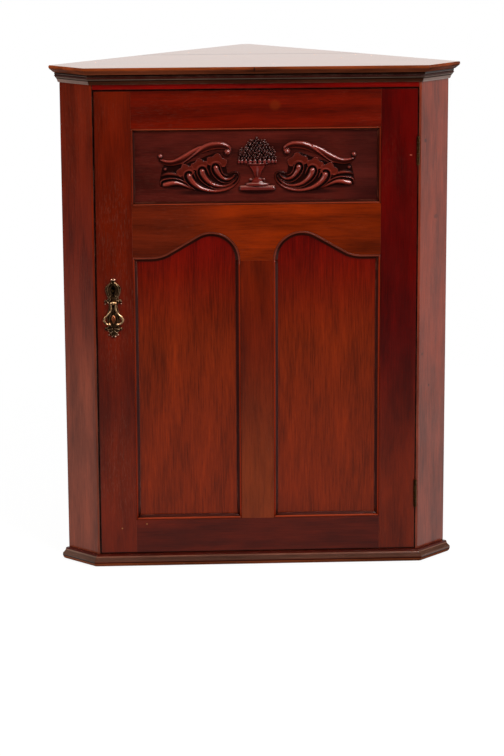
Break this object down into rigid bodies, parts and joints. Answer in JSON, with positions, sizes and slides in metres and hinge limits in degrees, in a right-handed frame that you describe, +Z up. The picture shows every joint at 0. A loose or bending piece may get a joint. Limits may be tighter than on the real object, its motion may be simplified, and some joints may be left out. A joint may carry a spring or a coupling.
{
  "type": "corner cupboard",
  "caption": "Corner cupboard with a carved, arch-panelled door, shelves inside, a drop handle and a lock; sits in a right-angled room corner.",
  "frame": {"origin": "on the floor plane, in the middle of the bounding box, under the bottom board", "axes": "+Z up, front of the door towards -Y, back corner towards +Y, +X to the right seen from the front"},
  "size_m": [0.674, 0.386, 0.84],
  "materials": {
    "mahogany_frame": "french polished, warm red brown",
    "mahogany_panel": "french polished, brighter red brown, straight grain",
    "mahogany_carved": "french polished, dark mottled ground",
    "mahogany_top": "polished, faded orange brown",
    "dark_moulding": "polished, dark stained",
    "pine": "bare, aged",
    "aged_brass": "antique, rubbed on its high places",
    "hinge_brass": "dull brass"
  },
  "bodies": {
    "carcass": {"top_board_front": "mahogany_top", "top_board_rear": "mahogany_top", "cornice_front": "dark_moulding", "cornice_left": "dark_moulding", "cornice_right": "dark_moulding", "front_top_rail": "mahogany_frame", "return_left": "mahogany_frame", "return_right": "mahogany_frame", "backboard_left_1": "pine", "backboard_left_2": "pine", "backboard_left_3": "pine", "backboard_right_1": "pine", "backboard_right_2": "pine", "backboard_right_3": "pine", "bottom_board": "mahogany_frame", "base_moulding_front": "dark_moulding", "base_moulding_left": "dark_moulding", "base_moulding_right": "dark_moulding", "shelf_lower": "pine", "shelf_upper": "pine", "shelf_bearer_lower_left": "pine", "shelf_bearer_lower_right": "pine", "shelf_bearer_upper_left": "pine", "shelf_bearer_upper_right": "pine", "hinge_frame_leaf_lower": "hinge_brass", "hinge_frame_leaf_upper": "hinge_brass", "hinge_pin_lower": "hinge_brass", "hinge_pin_upper": "hinge_brass"},
    "door": {"lock_stile": "mahogany_frame", "hinge_stile": "mahogany_frame", "door_top_rail": "mahogany_frame", "door_middle_rail": "mahogany_frame", "door_bottom_rail": "mahogany_frame", "door_muntin": "mahogany_frame", "carved_panel": "mahogany_carved", "lower_panel_left": "mahogany_panel", "lower_panel_right": "mahogany_panel", "carved_moulding_top": "dark_moulding", "carved_moulding_bottom": "dark_moulding", "carved_moulding_left": "dark_moulding", "carved_moulding_right": "dark_moulding", "lower_moulding_left_base": "dark_moulding", "lower_moulding_left_stile": "dark_moulding", "lower_moulding_left_muntin": "dark_moulding", "lower_moulding_left_arch": "dark_moulding", "lower_moulding_right_base": "dark_moulding", "lower_moulding_right_stile": "dark_moulding", "lower_moulding_right_muntin": "dark_moulding", "lower_moulding_right_arch": "dark_moulding", "carved_scroll_left": "mahogany_carved", "carved_scroll_right": "mahogany_carved", "carved_basket": "mahogany_carved", "hinge_door_leaf_lower": "hinge_brass", "hinge_door_leaf_upper": "hinge_brass", "lock_case": "hinge_brass", "escutcheon_plate": "aged_brass", "handle_post": "aged_brass"},
    "lock_bolt": {"lock_bolt": "hinge_brass"},
    "drop_handle": {"drop_handle": "aged_brass"}
  },
  "joints": [
    {"name": "door_swing", "type": "hinge", "parent": "carcass", "child": "door", "pos_m": [0.26525, -0.1712, 0.42], "axis": [0, 0, 1], "range_deg": [0, 135]},
    {"name": "bolt_throw", "type": "slide", "parent": "door", "child": "lock_bolt", "axis": [-1, 0, 0], "range_m": [0, 0.009]},
    {"name": "handle_lift", "type": "hinge", "parent": "door", "child": "drop_handle", "pos_m": [-0.2375, -0.177, 0.452], "axis": [-1, 0, 0], "range_deg": [0, 85]}
  ]
}
